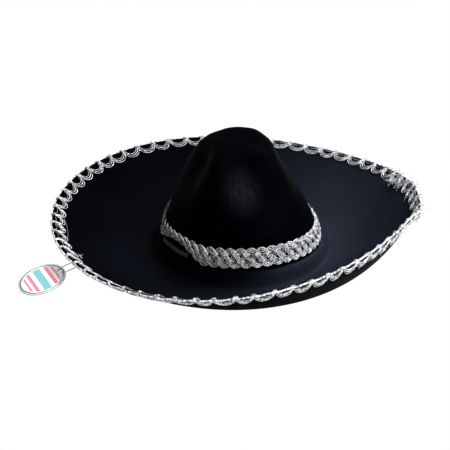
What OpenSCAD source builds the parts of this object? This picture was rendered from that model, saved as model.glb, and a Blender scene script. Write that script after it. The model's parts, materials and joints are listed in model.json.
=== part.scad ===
// Felt sombrero with silver gimp braid, 56-57 cm head size.
// Front is -Y, the wearer's left is +X, up is +Z. The brim rests on Z = 0.
// Angles round the hat are counted from the front (-Y) towards +X.

/* [Crown] */
// Crown half width at the seam, outside the felt
crown_half_w = 90.5; // [86:0.5:94]
// Crown half length at the seam, outside the felt
crown_half_l = 93.5; // [88:0.5:104]
// Height of the crown's top above the table
crown_h = 136.5; // [115:0.5:150]
// Fullness of the crown's profile, larger is boxier
crown_full = 3; // [2.2:0.05:3.4]
// Depth of the four pressed dents
dent_depth = 15; // [0:0.5:18]
// Share by which the dent on the wearer's left is shallower
dent_ease = 0.75; // [0:0.05:0.8]
// Depth of the long hollow under that dent
side_hollow = 5.5; // [0:0.5:7]
// Sideways lean of the crown's top
crown_lean = -5; // [-6:0.5:6]
// Felt thickness of crown and brim
felt_t = 2; // [1.5:0.1:2.5]
// Width of the crown's sewn flange under the brim
flange_w = 6; // [4:0.5:8]

/* [Brim] */
// Half width of the brim laid flat
brim_half_w = 219; // [216:0.5:228]
// Half length of the brim laid flat
brim_half_l = 234; // [226:0.5:246]
// Length of the curled outer part of the brim
curl_len = 112; // [100:1:113]
// Mean angle of the curl at the rim
curl_mean = 41.6; // [35:0.1:46]
// Extra curl at the front against the back
curl_front = 23.1; // [0:0.1:25]
// Extra curl on the wearer's left against the right
curl_side = 6; // [0:0.1:10]
// Twist of the curl towards the front corners
curl_twist = 11.3; // [0:0.1:13]
// Amount the kink at the rim's tip opens the curl
kink = 7; // [0:0.5:10]
// Mean height of the crown seam above the table
seam_h = 10; // [8:0.25:12]
// Rise of the seam at front and back
seam_bow = 4; // [0:0.25:4.5]

/* [Braid] */
// Number of loops in the rim braid
loops = 65; // [55:1:75]
// Depth of a rim loop on the upper face
loop_d = 8.5; // [7:0.25:12]
// Depth of a rim loop on the under face
under_loop_d = 4.5; // [3:0.25:10]
// Thickness of the braid
braid_t = 1; // [0.8:0.1:1.2]
// Height of the hatband braid
band_h = 23; // [20:0.5:28]
// Number of scallops on each edge of the hatband
band_n = 48; // [40:1:56]

/* [Hang tag] */
// Diameter of the tag
tag_d = 54; // [45:1:60]
// Thickness of one leaf of the tag
leaf_t = 0.5; // [0.4:0.1:0.8]
// Slope of the tag as it leans on the table
tag_slope = 14.3; // [12:0.1:15]

/* [View] */
// Sub-part to draw

/* [Hidden] */
$fn = 24;
gap = 0.3;
braid_gap = 0.4;
flat_w = 4;
flange_t = 1.6;
crown_na = 72;
brim_na = 90;
wire_r = 0.75;
wire_s = 1.45;
edge_s = 2.9;
header_s = 4;
tip_p = 68;
fray_p = 101;
tag_p = -80;
crown_u = [0.08, 0.16, 0.23, 0.3, 0.37, 0.44, 0.51, 0.58, 0.65, 0.72, 0.79, 0.85, 0.91, 0.96, 1];
brim_t = concat([0, 0.25, 0.5, 0.75, 1, 2], [for (j = [1:11]) 2 + j / 11]);
felt_black = [0.03, 0.035, 0.06];
silver = [0.75, 0.76, 0.8];

// ---------- shape of the felt ----------
function oval(p, a, b) = a * b / sqrt(pow(b * sin(p), 2) + pow(a * cos(p), 2));
function around(p, rz) = [rz[0] * sin(p), -rz[0] * cos(p), rz[1]];
function unit(v) = v / norm(v);
function seam_z(p) = seam_h + seam_bow * cos(2 * p) - 1.2 * sin(p);
function curl(p) = curl_mean + curl_front * cos(p) + curl_side * sin(p) + 1.7 * cos(2 * p)
    + curl_twist * sin(2 * p) - 1.8 * cos(3 * p) + 0.8 * sin(3 * p) - kink * exp(-pow((p - tip_p) / 8, 2));

// Crown: r and z at azimuth p, u = 0 at the top and 1 at the seam, off along the outward normal.
function dent(p, u) = let (s = max(0, min(1, (0.9 - u) / 0.62)), t = max(0, min(1, (0.98 - u) / 0.55)))
    dent_depth * (1 - dent_ease * pow(max(0, sin(p)), 3))
    * pow(sin(180 * pow(s, 0.95)), 1.25) * pow(abs(cos(2 * p)), 1.8)
    + side_hollow * pow(max(0, sin(p)), 2) * sin(180 * t);
function crown_rz(p, u, off) = let (
        rb = oval(p, crown_half_w, crown_half_l),
        h = crown_h - seam_z(p),
        m = h * crown_full * pow(u, crown_full - 1) / rb,
        d = off - dent(p, u))
    [u * rb + d * m / sqrt(m * m + 1), seam_z(p) + h * (1 - pow(u, crown_full)) + d / sqrt(m * m + 1)];
function crown_pt(p, u, off) = let (q = around(p, crown_rz(p, u, off)))
    [q[0] + crown_lean * max(0, q[2] - 40) / crown_h, q[1], q[2]];
function wall_u(p, h) = pow(1 - h / (crown_h - seam_z(p)), 1 / crown_full);
function wall_pt(p, h, off) = crown_pt(p, wall_u(p, h), off);

// Brim: t = 0 at the seam, 1 to 2 flat on the table, 2 to 3 curling up, then s millimetres past the edge.
function hole_r(p) = oval(p, crown_half_w, crown_half_l) + gap;
function flat_r(p) = oval(p, brim_half_w, brim_half_l) - curl_len - flat_w;
function fall_t(p, mm) = mm / (flat_r(p) - hole_r(p));
function fall_z(p, t) = seam_z(p) * (1 + cos(180 * t)) / 2;
function brim_rz(p, t, off, s = 0) = let (
        w = flat_r(p) - hole_r(p),
        k = curl(p),
        cr = curl_len / (k * PI / 180),
        a = t < 1 ? -atan(seam_z(p) * PI / 2 * sin(180 * t) / w) : t < 2 ? 0 : k * (t - 2),
        r = t < 1 ? hole_r(p) + w * t : t < 2 ? flat_r(p) + flat_w * (t - 1)
            : flat_r(p) + flat_w + cr * sin(a),
        z = t < 1 ? fall_z(p, t) : t < 2 ? 0 : cr * (1 - cos(a)))
    [r + s * cos(a) - off * sin(a), z + s * sin(a) + off * cos(a)];
function brim_pt(p, t, off, s = 0) = around(p, brim_rz(p, t, off, s));
// A point measured back from the felt edge: s is negative over the felt, positive past its edge.
function edge_pt(p, s, off) = s > 0 ? brim_pt(p, 3, off, s) : brim_pt(p, 3 + s / curl_len, off);

// ---------- sweeping sections into solids ----------
function quads(i, j, m) = [for (q = [0:m - 1]) let (a = i * m + q, b = i * m + (q + 1) % m,
    c = j * m + (q + 1) % m, d = j * m + q) each [[a, b, c], [a, c, d]]];
module hoop(pts, m) {
    n = len(pts) / m;
    polyhedron(points = pts, faces = [for (i = [0:n - 1]) each quads(i, (i + 1) % n, m)], convexity = 8);
}
module strip(pts, m) {
    n = len(pts) / m;
    polyhedron(points = pts, faces = concat([[for (q = [m - 1:-1:0]) q]],
        [for (i = [0:n - 2]) each quads(i, i + 1, m)], [[for (q = [0:m - 1]) (n - 1) * m + q]]), convexity = 4);
}
module rod(a, b, r) {
    v = b - a;
    translate(a) rotate([0, acos(v[2] / norm(v)), atan2(v[1], v[0])]) cylinder(h = norm(v), r = r);
}

// ---------- felt body ----------
// Underside of the crown's sewn flange, mm outside the crown's foot.
function flange_low(p, mm) = let (
        z0 = seam_z(p) - gap - flange_t,
        z1 = fall_z(p, fall_t(p, flange_w - gap)) - gap - flange_t)
    z0 + (z1 - z0) * (mm + felt_t) / (flange_w + felt_t);
function crown_section(p) = let (rb = oval(p, crown_half_w, crown_half_l), n = len(crown_u))
    concat([for (u = crown_u) crown_pt(p, u, -felt_t)],
        [around(p, [rb - felt_t, flange_low(p, -felt_t)]), around(p, [rb + flange_w, flange_low(p, flange_w)]),
         around(p, [rb + flange_w, flange_low(p, flange_w) + flange_t]), around(p, [rb, seam_z(p) - gap])],
        [for (j = [n - 1:-1:0]) crown_pt(p, crown_u[j], 0)]);
module crown() {
    m = 2 * len(crown_u) + 4;
    ring = [for (i = [0:crown_na - 1]) each crown_section(i * 360 / crown_na)];
    top = len(ring);
    apex_x = crown_lean * (crown_h - 40) / crown_h;
    wall = [for (i = [0:crown_na - 1]) let (j = (i + 1) % crown_na)
        each [for (q = [0:m - 2]) let (a = i * m + q, d = j * m + q) each [[a, a + 1, d + 1], [a, d + 1, d]]]];
    caps = [for (i = [0:crown_na - 1]) let (j = (i + 1) % crown_na)
        each [[top, i * m, j * m], [i * m + m - 1, top + 1, j * m + m - 1]]];
    color(felt_black)
        polyhedron(points = concat(ring, [[apex_x, 0, crown_h - felt_t], [apex_x, 0, crown_h]]),
            faces = concat(wall, caps), convexity = 8);
}
module brim() {
    n = len(brim_t);
    color(felt_black)
        hoop([for (i = [0:brim_na - 1]) let (p = i * 360 / brim_na) each concat(
            [for (t = brim_t) brim_pt(p, t, 0)], [for (j = [n - 1:-1:0]) brim_pt(p, brim_t[j], felt_t)])], 2 * n);
}
module brim_wire() {
    color([0.5, 0.5, 0.52])
        hoop([for (i = [0:brim_na - 1]) for (q = [0:60:300])
            edge_pt(i * 360 / brim_na, wire_s + wire_r * cos(q), felt_t / 2 + wire_r * sin(q))], 6);
}
module wire_ferrule() {
    a = edge_pt(tip_p - 1, wire_s, felt_t / 2);
    b = edge_pt(tip_p + 1, wire_s, felt_t / 2);
    c = edge_pt(tip_p, wire_s, felt_t / 2);
    color([0.6, 0.6, 0.62])
        rod(c - 3 * unit(b - a), c + 3 * unit(b - a), 0.95);
}

// ---------- rim braid ----------
module rim_braid_header() {
    lo = -braid_gap;
    hi = felt_t + braid_gap;
    b = braid_t;
    outline = [[-header_s, lo - b], [edge_s, lo - b], [edge_s + b, lo], [edge_s + b, hi], [edge_s, hi + b],
               [-header_s, hi + b], [-header_s, hi], [edge_s, hi], [edge_s, lo], [-header_s, lo]];
    color(silver)
        hoop([for (i = [0:brim_na - 1]) for (q = outline) edge_pt(i * 360 / brim_na, q[0], q[1])], len(outline));
}
function loop_wave(c) = [0.3, 0.88, 1, 0.88][c % 4];
module loop_row(lo, hi, depth) {
    s0 = -header_s - gap;
    hoop([for (c = [0:loops * 4 - 1]) let (p = c * 90 / loops, d = s0 - depth * loop_wave(c))
        each [edge_pt(p, d, lo), edge_pt(p, s0, lo), edge_pt(p, s0, hi), edge_pt(p, d, hi)]], 4);
}
module rim_scallops_inner() {
    color(silver)
        loop_row(felt_t + braid_gap, felt_t + braid_gap + braid_t, loop_d);
}
module rim_scallops_outer() {
    color(silver)
        loop_row(-braid_gap - braid_t, -braid_gap, under_loop_d);
}
// The braid's cut end laps over its start on the upper face.
lap_off = felt_t + braid_gap + braid_t + braid_gap;
module rim_braid_lap() {
    color(silver)
        strip([for (i = [0:6]) let (p = fray_p - 7 + i * 7 / 6)
            each [edge_pt(p, -13, lap_off), edge_pt(p, 1, lap_off), edge_pt(p, 1, lap_off + braid_t),
                  edge_pt(p, -13, lap_off + braid_t)]], 4);
}
module rim_braid_fray() {
    color(silver)
        for (j = [0:7]) {
            s = -12 + j * 1.7;
            far = [1, 2.6, 1.8, 3, 2.2, 2.8, 1.6, 2][j];
            rod(edge_pt(fray_p + 0.15, s, lap_off + 0.5),
                edge_pt(fray_p + far, s * 1.25 + 1, lap_off + 1 + (j % 3) * 1.2), 0.25);
        }
}

// ---------- hatband ----------
band_foot = 3;
lap_from = 316;
lap_span = 62;
lap_rise = 17;
lap_swell = 3;
function band_wave(c) = [0, 0.75, 1, 0.75][c % 4];
// The band draws in above its lap: 0 elsewhere and 1 where it is narrowest, p counted 0 to 360.
function lap_bump(p) = pow(sin(180 * pow(max(0, min(1, (lap_from - p) / lap_span)), 0.8)), 1.3);
function band_ring(p, lo, hi, thick) = [wall_pt(p, lo, gap), wall_pt(p, lo, gap + thick),
    wall_pt(p, hi, gap + thick), wall_pt(p, hi, gap)];
module hatband() {
    scallop = 2.5;
    color(silver)
        hoop([for (c = [0:band_n * 4 - 1]) let (p = c * 90 / band_n,
            lo = band_foot + lap_rise * lap_bump(p) + scallop * (1 - band_wave(c)),
            hi = band_foot + band_h + lap_swell * lap_bump(p) - scallop * (1 - band_wave(c + 2)))
            each band_ring(p, lo, hi, 2.4)], 4);
}
// The band's other end shows below the lap, against the crown's foot.
module hatband_lap() {
    lo = 6.5;
    color(silver)
        strip([for (i = [0:14]) let (p = -92 + i * 2.6, hi = 12.5 - 4 * pow(max(0, (-78 - p) / 14), 1.5))
            each band_ring(p, lo, hi, 1.6)], 4);
}

// ---------- inside the crown ----------
module sweatband() {
    lo = -0.8;
    hi = 29;
    a = -felt_t - gap;
    b = a - 1.1;
    color([0.05, 0.05, 0.06])
        hoop([for (i = [0:crown_na - 1]) let (p = i * 360 / crown_na)
            each [wall_pt(p, lo, b), wall_pt(p, lo, a), wall_pt(p, (lo + hi) / 2, a), wall_pt(p, hi, a),
                  wall_pt(p, hi, b), wall_pt(p, (lo + hi) / 2, b)]], 6);
}
function thread_ring(p, q, h, off, r) = wall_pt(p, h + r * sin(q), off + r * cos(q));
module sweatband_stitches() {
    color([0.08, 0.08, 0.09])
        hoop([for (i = [0:crown_na - 1]) for (q = [0:90:270])
            thread_ring(i * 360 / crown_na, q, 3, -felt_t - gap - 1.1 - gap - 0.3, 0.3)], 4);
}
module seam_stitches() {
    r = 0.25;
    color([0.08, 0.08, 0.09])
        hoop([for (i = [0:crown_na - 1]) let (p = i * 360 / crown_na, rb = oval(p, crown_half_w, crown_half_l),
                z = flange_low(p, 2) - gap - r)
            for (q = [0:90:270]) around(p, [rb + 2 + r * cos(q), z + r * sin(q)])], 4);
}

// ---------- hang tag ----------
// The tag is drawn in a radial plane: x outward, y up, at azimuth tag_p.
pin_s = -19;
pin_a = curl(tag_p) * (1 + pin_s / curl_len);
pin_q = brim_rz(tag_p, 3 + pin_s / curl_len, 0);
eye_r = 2.4;
eye_tilt = 36;
stem_l = 4;
eye_c = pin_q + stem_l * [sin(pin_a), -cos(pin_a)] + eye_r * [cos(eye_tilt), -sin(eye_tilt)];
leg_l = 20.5;
hole_in = 22;
loop_w = 8;
module at_tag() {
    rotate([0, 0, tag_p]) rotate([90, 0, -90]) children();
}
// From here x runs outward down the tag's slope, y is the tag's normal.
module on_slope() {
    at_tag() translate([eye_c[0], eye_c[1], 0]) rotate([0, 0, -tag_slope]) children();
}
module tag_pin() {
    color([0.85, 0.85, 0.88])
        at_tag() {
            translate([pin_q[0], pin_q[1], 0]) rotate([0, 0, pin_a]) {
                rotate([90, 0, 0]) translate([0, 0, -felt_t - gap - 0.5])
                    cylinder(h = felt_t + gap + 0.5 + stem_l, r = 0.4);
                translate([0, felt_t + gap + 0.5, -4]) cylinder(h = 8, r = 0.5);
            }
            translate([eye_c[0], eye_c[1], 0]) rotate([0, 0, -eye_tilt]) rotate([90, 0, 0])
                rotate_extrude() translate([eye_r, 0]) circle(r = 0.45, $fn = 16);
        }
}
module loop_bend(turn) {
    rotate([0, 0, turn]) rotate_extrude(angle = 180) translate([loop_w / 2, 0]) circle(r = 0.4, $fn = 12);
}
module tag_loop() {
    len = leg_l - loop_w;
    color([0.85, 0.85, 0.88])
        on_slope() translate([loop_w / 2, 0, 0]) {
            loop_bend(90);
            translate([len, 0, 0]) loop_bend(-90);
            for (e = [-1, 1])
                translate([0, e * loop_w / 2, 0]) rotate([0, 90, 0]) cylinder(h = len, r = 0.4, $fn = 12);
        }
}
module leaf(top) {
    on_slope() translate([leg_l + hole_in, top, 0]) rotate([90, 0, 0]) difference() {
        cylinder(h = leaf_t, d = tag_d, $fn = 72);
        translate([-hole_in, 0, -1]) cylinder(h = leaf_t + 2, d = 5);
    }
}
module tag_front_leaf() {
    color([0.95, 0.95, 0.96])
        leaf(leaf_t + gap / 2);
}
module tag_back_leaf() {
    color([0.7, 0.74, 0.75])
        leaf(-gap / 2);
}

crown();
brim();
brim_wire();
wire_ferrule();
rim_braid_header();
rim_scallops_inner();
rim_scallops_outer();
rim_braid_lap();
rim_braid_fray();
hatband();
hatband_lap();
sweatband();
sweatband_stitches();
seam_stitches();
tag_pin();
tag_loop();
tag_front_leaf();
tag_back_leaf();
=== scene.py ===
"""Looks for the felt sombrero with silver gimp braid.

Shapes are worked out in millimetres with the hat's own formulas and turned to metres when a mesh is made.
Angles round the hat are in degrees, counted from the front (-Y) towards the wearer's left (+X).
"""
import json
import math

import bpy
import numpy as np
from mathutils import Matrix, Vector

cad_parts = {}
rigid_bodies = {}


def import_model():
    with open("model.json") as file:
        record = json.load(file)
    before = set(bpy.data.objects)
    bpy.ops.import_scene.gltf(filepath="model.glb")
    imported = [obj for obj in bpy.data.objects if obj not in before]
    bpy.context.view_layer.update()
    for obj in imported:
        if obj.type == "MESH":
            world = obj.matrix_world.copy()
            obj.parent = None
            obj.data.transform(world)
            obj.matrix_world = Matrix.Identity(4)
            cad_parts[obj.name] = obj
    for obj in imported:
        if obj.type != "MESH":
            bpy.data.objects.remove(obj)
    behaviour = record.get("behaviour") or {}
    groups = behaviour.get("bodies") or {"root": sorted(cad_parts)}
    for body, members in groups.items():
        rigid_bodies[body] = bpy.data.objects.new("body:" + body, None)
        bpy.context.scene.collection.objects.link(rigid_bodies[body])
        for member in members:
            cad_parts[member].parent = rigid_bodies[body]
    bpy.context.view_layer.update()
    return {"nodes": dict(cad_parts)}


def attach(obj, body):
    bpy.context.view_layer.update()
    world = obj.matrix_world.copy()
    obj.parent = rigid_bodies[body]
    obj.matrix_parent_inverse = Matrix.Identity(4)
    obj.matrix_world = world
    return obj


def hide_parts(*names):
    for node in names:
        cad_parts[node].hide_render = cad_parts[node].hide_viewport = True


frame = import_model()
nodes = frame["nodes"]
MM = 0.001
rng = np.random.default_rng(7)

# ---------- driving sizes, the same as the frame's ----------
CROWN_W, CROWN_L, CROWN_H, CROWN_FULL = 90.5, 93.5, 136.5, 3.0
DENT_DEPTH, DENT_EASE, SIDE_HOLLOW, CROWN_LEAN = 15.0, 0.75, 5.5, -5.0
FELT_T, FLANGE_W, FLANGE_T, GAP = 2.0, 6.0, 1.6, 0.3
BRIM_W, BRIM_L, CURL_LEN, FLAT_W = 219.0, 234.0, 112.0, 4.0
CURL_MEAN, CURL_FRONT, CURL_SIDE, CURL_TWIST, KINK = 41.6, 23.1, 6.0, 11.3, 7.0
SEAM_H, SEAM_BOW = 10.0, 4.0
TIP_P, FRAY_P, TAG_P = 68.0, 101.0, -80.0
LOOPS = 65
BAND_FOOT, BAND_H, BAND_TURNS = 3.0, 23.0, 16
LAP_FROM, LAP_SPAN, LAP_RISE, LAP_SWELL = 316.0, 62.0, 17.0, 3.0
WIRE_S = 1.45


# ---------- shape of the felt ----------
def sin_d(a):
    """Sine of an angle in degrees."""
    return np.sin(np.radians(a))


def cos_d(a):
    """Cosine of an angle in degrees."""
    return np.cos(np.radians(a))


def oval(p, a, b):
    """Radius at angle p of an ellipse with half axes a (sideways) and b (front to back)."""
    return a * b / np.sqrt((b * sin_d(p)) ** 2 + (a * cos_d(p)) ** 2)


def around(p, r, z):
    """Points at radius r and height z, at angle p round the hat."""
    return np.stack(np.broadcast_arrays(r * sin_d(p), -r * cos_d(p), z), axis=-1)


def seam_z(p):
    """Height of the seam between crown and brim: it bows down at the sides."""
    return SEAM_H + SEAM_BOW * cos_d(2 * p) - 1.2 * sin_d(p)


def curl(p):
    """How far the brim's edge turns up, in degrees, with a kink where the wire's ends meet."""
    from_tip = (p - TIP_P + 180) % 360 - 180
    return (CURL_MEAN + CURL_FRONT * cos_d(p) + CURL_SIDE * sin_d(p) + 1.7 * cos_d(2 * p)
            + CURL_TWIST * sin_d(2 * p) - 1.8 * cos_d(3 * p) + 0.8 * sin_d(3 * p)
            - KINK * np.exp(-(from_tip / 8) ** 2))


def dent(p, u):
    """Depth of the four pressed dents, and of the shallow hollow on the wearer's left."""
    s = np.clip((0.9 - u) / 0.62, 0, 1)
    t = np.clip((0.98 - u) / 0.55, 0, 1)
    depth = DENT_DEPTH * (1 - DENT_EASE * np.maximum(0, sin_d(p)) ** 3)
    pressed = depth * np.clip(sin_d(180 * s ** 0.95), 0, 1) ** 1.25 * np.abs(cos_d(2 * p)) ** 1.8
    return pressed + SIDE_HOLLOW * np.maximum(0, sin_d(p)) ** 2 * sin_d(180 * t)


def crown_pt(p, u, off):
    """The crown's felt: u is 0 at the top and 1 at the seam, off runs along the outward normal."""
    rb = oval(p, CROWN_W, CROWN_L)
    h = CROWN_H - seam_z(p)
    m = h * CROWN_FULL * u ** (CROWN_FULL - 1) / rb
    d = off - dent(p, u)
    lean = np.sqrt(m * m + 1)
    pt = around(p, u * rb + d * m / lean, seam_z(p) + h * (1 - u ** CROWN_FULL) + d / lean)
    pt[..., 0] += CROWN_LEAN * np.maximum(0, pt[..., 2] - 40) / CROWN_H
    return pt


def wall_pt(p, h, off):
    """The crown's wall at height h above the seam."""
    return crown_pt(p, (1 - h / (CROWN_H - seam_z(p))) ** (1 / CROWN_FULL), off)


def hole_r(p):
    """Radius of the brim's inner edge."""
    return oval(p, CROWN_W, CROWN_L) + GAP


def flat_r(p):
    """Radius where the brim comes to rest on the table."""
    return oval(p, BRIM_W, BRIM_L) - CURL_LEN - FLAT_W


def brim_line(p, t):
    """Radius, height and slope of the brim's under face.

    t runs from 0 to 1 down to the table, from 1 to 2 along it and from 2 to 3 up the curl.
    """
    w = flat_r(p) - hole_r(p)
    k = np.radians(curl(p))
    cr = CURL_LEN / k
    fall = np.clip(t, 0, 1)
    flat = np.clip(t - 1, 0, 1)
    arc = k * np.clip(t - 2, 0, 1.2)
    slope = np.where(t < 1, -np.arctan(seam_z(p) * math.pi / 2 * sin_d(180 * fall) / w), arc)
    r = hole_r(p) + w * fall + FLAT_W * flat + cr * np.sin(arc)
    z = seam_z(p) * (1 + cos_d(180 * fall)) / 2 + cr * (1 - np.cos(arc))
    return r, z, slope


def brim_pt(p, t, off, s=0.0):
    """Off the brim's under face by off, and s past the point along the slope."""
    r, z, a = brim_line(p, t)
    return around(p, r + s * np.cos(a) - off * np.sin(a), z + s * np.sin(a) + off * np.cos(a))


def fall_t(p, mm):
    """The t of brim_line that lies mm out from the brim's inner edge."""
    return mm / (flat_r(p) - hole_r(p))


def edge_pt(p, s, off):
    """Measured from the felt's cut edge: s is negative over the felt and positive past the edge."""
    return brim_pt(p, 3 + np.minimum(s, 0) / CURL_LEN, off, np.maximum(s, 0))


# ---------- meshes ----------
def make_piece(name, verts, faces, uvs=None, smooth=True):
    """A mesh object from millimetre points. uvs holds one pair for each corner of each face."""
    mesh = bpy.data.meshes.new(name)
    mesh.from_pydata((np.asarray(verts) * MM).tolist(), [], [list(f) for f in faces])
    if uvs is not None:
        layer = mesh.uv_layers.new(name="UVMap")
        layer.data.foreach_set("uv", np.asarray(uvs, float).ravel())
    mesh.polygons.foreach_set("use_smooth", [smooth] * len(mesh.polygons))
    mesh.validate()
    mesh.update()
    piece = bpy.data.objects.new(name, mesh)
    bpy.context.scene.collection.objects.link(piece)
    return piece


def grid_faces(rows, cols, wrap_rows, wrap_cols, base=0):
    """Quads of a grid whose points are stored row by row."""
    i = np.arange(rows if wrap_rows else rows - 1)
    j = np.arange(cols if wrap_cols else cols - 1)
    i, j = np.meshgrid(i, j, indexing="ij")
    i2 = (i + 1) % rows
    j2 = (j + 1) % cols
    quads = np.stack([i * cols + j, i2 * cols + j, i2 * cols + j2, i * cols + j2], axis=-1)
    return quads.reshape(-1, 4) + base


def unit(v):
    """The same directions with length one."""
    return v / np.maximum(np.linalg.norm(v, axis=-1, keepdims=True), 1e-9)


class Cords:
    """Collects many tubes into one mesh. Each tube's UV runs in metres along it and once round it."""

    def __init__(self):
        self.points = []
        self.faces = []
        self.uvs = []
        self.count = 0

    def tube(self, path, up, radius, sides=6, closed=False):
        """One tube along a path. up points away from the face the cord lies on."""
        path = np.asarray(path, float)
        n = len(path)
        if closed:
            along = np.roll(path, -1, 0) - np.roll(path, 1, 0)
        else:
            along = np.gradient(path, axis=0)
        along = unit(along)
        side = unit(np.cross(along, np.broadcast_to(up, path.shape)))
        over = np.cross(side, along)
        turn = np.linspace(0, 2 * math.pi, sides, endpoint=False)
        r = np.broadcast_to(radius, (n,))[:, None, None]
        ring = path[:, None] + r * (np.cos(turn)[None, :, None] * over[:, None]
                                    + np.sin(turn)[None, :, None] * side[:, None])
        self.points.append(ring.reshape(-1, 3))
        self.faces.append(grid_faces(n, sides, closed, True, self.count))
        step = np.linalg.norm(np.diff(path, axis=0, append=path[:1]), axis=1)
        run = np.concatenate([[0], np.cumsum(step)]) * MM
        i, j = np.meshgrid(np.arange(n if closed else n - 1), np.arange(sides), indexing="ij")
        u0, u1, v0, v1 = run[i], run[i + 1], j / sides, (j + 1) / sides
        corners = [np.stack([u, v], -1) for u, v in ((u0, v0), (u1, v0), (u1, v1), (u0, v1))]
        self.uvs.append(np.stack(corners, 2).reshape(-1, 2))
        if not closed:
            self._cap(n, sides)
        self.count += n * sides

    def _cap(self, n, sides):
        """Closes both ends of an open tube of n rings."""
        first = self.count + np.arange(sides)[::-1]
        last = self.count + (n - 1) * sides + np.arange(sides)
        self.faces += [[first.tolist()], [last.tolist()]]
        self.uvs.append(np.zeros((2 * sides, 2)))

    def rope(self, path, up, radius, lay, plies=2, sides=5, closed=False, start=0.0):
        """Plies twisted together: lay is the length of one turn, radius is the whole rope's."""
        path = np.asarray(path, float)
        if closed:
            along = np.roll(path, -1, 0) - np.roll(path, 1, 0)
            total = np.linalg.norm(np.diff(path, axis=0, append=path[:1]), axis=1).sum()
            lay = total / max(1, round(total / lay))
        else:
            along = np.gradient(path, axis=0)
        along = unit(along)
        side = unit(np.cross(along, np.broadcast_to(up, path.shape)))
        over = np.cross(side, along)
        run = np.concatenate([[0], np.cumsum(np.linalg.norm(np.diff(path, axis=0), axis=1))])
        ply_r = radius * 0.54
        for k in range(plies):
            a = 2 * math.pi * (run / lay + k / plies) + start
            spread = (radius - ply_r) * (np.cos(a)[:, None] * over + np.sin(a)[:, None] * side)
            self.tube(path + spread, up, ply_r, sides, closed)

    def piece(self, name):
        """Everything collected so far, as one mesh object."""
        faces = [f for group in self.faces for f in np.asarray(group).tolist()]
        return make_piece(name, np.concatenate(self.points), faces, np.concatenate(self.uvs))


# ---------- materials ----------
def new_material(name):
    """A new node material, its tree and its Principled shader."""
    mat = bpy.data.materials.new(name)
    mat.use_nodes = True
    tree = mat.node_tree
    shader = tree.nodes["Principled BSDF"]
    return mat, tree, shader


def add(tree, kind, links=(), **values):
    """A node with its properties and inputs set; links pairs an input's name with another node's output."""
    node = tree.nodes.new(kind)
    for key, value in values.items():
        if hasattr(node, key):
            setattr(node, key, value)
        else:
            node.inputs[key.replace("_", " ")].default_value = value
    for name, source in links:
        tree.links.new(source, node.inputs[name])
    return node


def ramp(tree, source, stops):
    """A colour ramp fed by source. Each stop is a place and a colour."""
    node = tree.nodes.new("ShaderNodeValToRGB")
    bar = node.color_ramp.elements
    while len(bar) < len(stops):
        bar.new(0.5)
    for element, (place, color) in zip(bar, stops):
        element.position = place
        element.color = (*color, 1) if len(color) == 3 else color
    tree.links.new(source, node.inputs["Fac"])
    return node


def new_group(name, inputs, outputs):
    """A shader node group with named float inputs and outputs of the given socket kinds."""
    group = bpy.data.node_groups.new(name, "ShaderNodeTree")
    for label, default in inputs:
        socket = group.interface.new_socket(label, in_out="INPUT", socket_type="NodeSocketFloat")
        socket.default_value = default
    for label, kind in outputs:
        group.interface.new_socket(label, in_out="OUTPUT", socket_type=kind)
    return group, group.nodes.new("NodeGroupInput"), group.nodes.new("NodeGroupOutput")


def felt_nap_group():
    """Brushed wool felt: fine fibres, a soft directional nap and slow cloudy shading."""
    group, given, out = new_group(
        "felt_nap", [("Fibre Scale", 900.0), ("Cloud Scale", 18.0)],
        [("Height", "NodeSocketFloat"), ("Cloud", "NodeSocketFloat"), ("Nap", "NodeSocketFloat")])
    place = add(group, "ShaderNodeTexCoord")
    comb = add(group, "ShaderNodeMapping", [("Vector", place.outputs["Object"])])
    comb.inputs["Scale"].default_value = (1.0, 0.35, 1.0)
    comb.inputs["Rotation"].default_value = (0.3, 0.2, 0.5)
    fibre = add(group, "ShaderNodeTexNoise", [("Vector", comb.outputs["Vector"]),
                                              ("Scale", given.outputs["Fibre Scale"])],
                Detail=4.0, Roughness=0.65, Distortion=0.4)
    brushed = add(group, "ShaderNodeMapping", [("Vector", place.outputs["Object"])])
    brushed.inputs["Scale"].default_value = (0.25, 1.0, 0.6)
    nap = add(group, "ShaderNodeTexNoise", [("Vector", brushed.outputs["Vector"])],
              Scale=260.0, Detail=3.0, Roughness=0.6, Distortion=0.8)
    cloud = add(group, "ShaderNodeTexNoise", [("Vector", place.outputs["Object"]),
                                              ("Scale", given.outputs["Cloud Scale"])],
                Detail=3.0, Roughness=0.55)
    both = add(group, "ShaderNodeMath", [(0, fibre.outputs["Fac"]), (1, nap.outputs["Fac"])], operation="ADD")
    group.links.new(both.outputs[0], out.inputs["Height"])
    group.links.new(cloud.outputs["Fac"], out.inputs["Cloud"])
    group.links.new(nap.outputs["Fac"], out.inputs["Nap"])
    return group


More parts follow.
